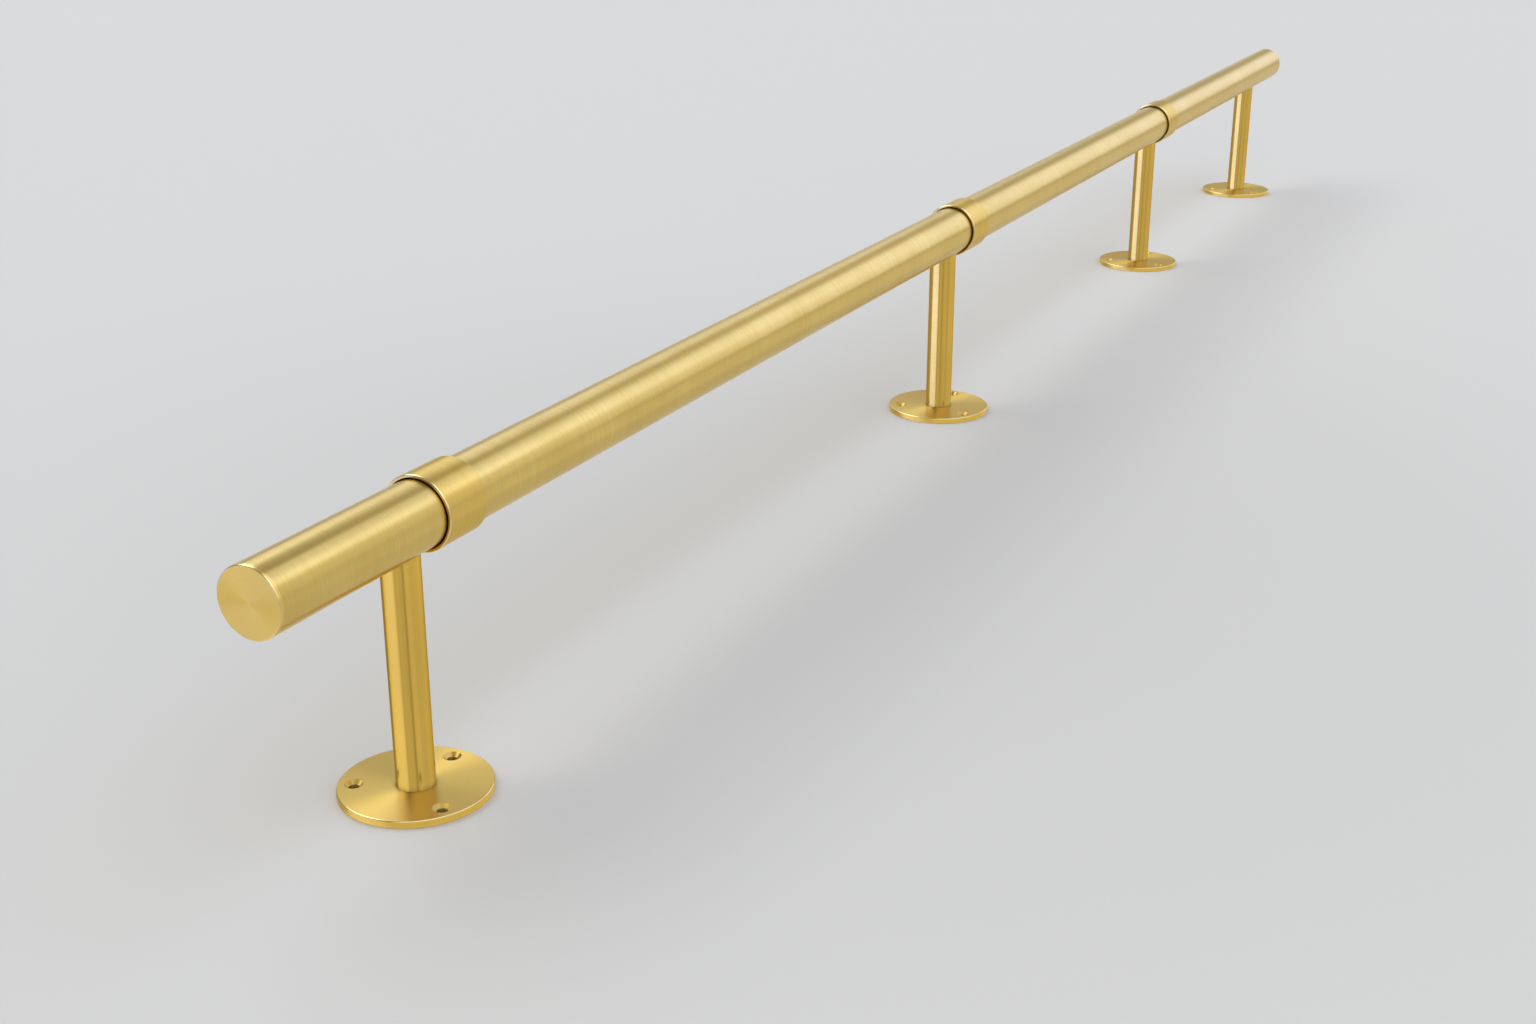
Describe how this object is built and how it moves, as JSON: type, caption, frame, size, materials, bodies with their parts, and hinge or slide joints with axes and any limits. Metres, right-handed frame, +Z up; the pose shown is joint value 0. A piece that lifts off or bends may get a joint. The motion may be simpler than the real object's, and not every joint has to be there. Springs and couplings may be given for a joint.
{
  "type": "bar foot rail",
  "caption": "Straight round brass foot rail for a bar front, on short floor posts with round screw-down flanges, with joint collars and flush end caps.",
  "frame": {"origin": "on the floor under the middle of the rail", "axes": "+X along the rail from its near end to its far end, +Y across it, +Z up"},
  "size_m": [2.7, 0.112, 0.2316],
  "materials": {
    "rail_brass": "fine circumferential brushing, clear lacquer",
    "collar_brass": "fine circumferential brushing, rounded lip polished brighter",
    "cap_brass": "satin face, bright rim",
    "post_brass": "fine brushing along and round the tube",
    "flange_brass": "satin, lathe-turned face, bright rim",
    "nut_brass": "plain machined",
    "sleeve_brass": "plain turned",
    "screw_steel": "plain zinc"
  },
  "bodies": {
    "root": {"base_flange_1": "flange_brass", "post_tube_1": "post_brass", "base_flange_2": "flange_brass", "post_tube_2": "post_brass", "base_flange_3": "flange_brass", "post_tube_3": "post_brass", "base_flange_4": "flange_brass", "post_tube_4": "post_brass", "tie_bolts": "screw_steel", "saddle_nuts": "nut_brass", "rail_tube_1": "rail_brass", "rail_tube_2": "rail_brass", "rail_tube_3": "rail_brass", "rail_tube_4": "rail_brass", "end_cap_near": "cap_brass", "end_cap_far": "cap_brass", "joint_collar_1": "collar_brass", "joint_collar_2": "collar_brass", "joint_collar_3": "collar_brass", "splice_sleeves": "sleeve_brass", "joint_screws": "screw_steel"}
  },
  "joints": []
}
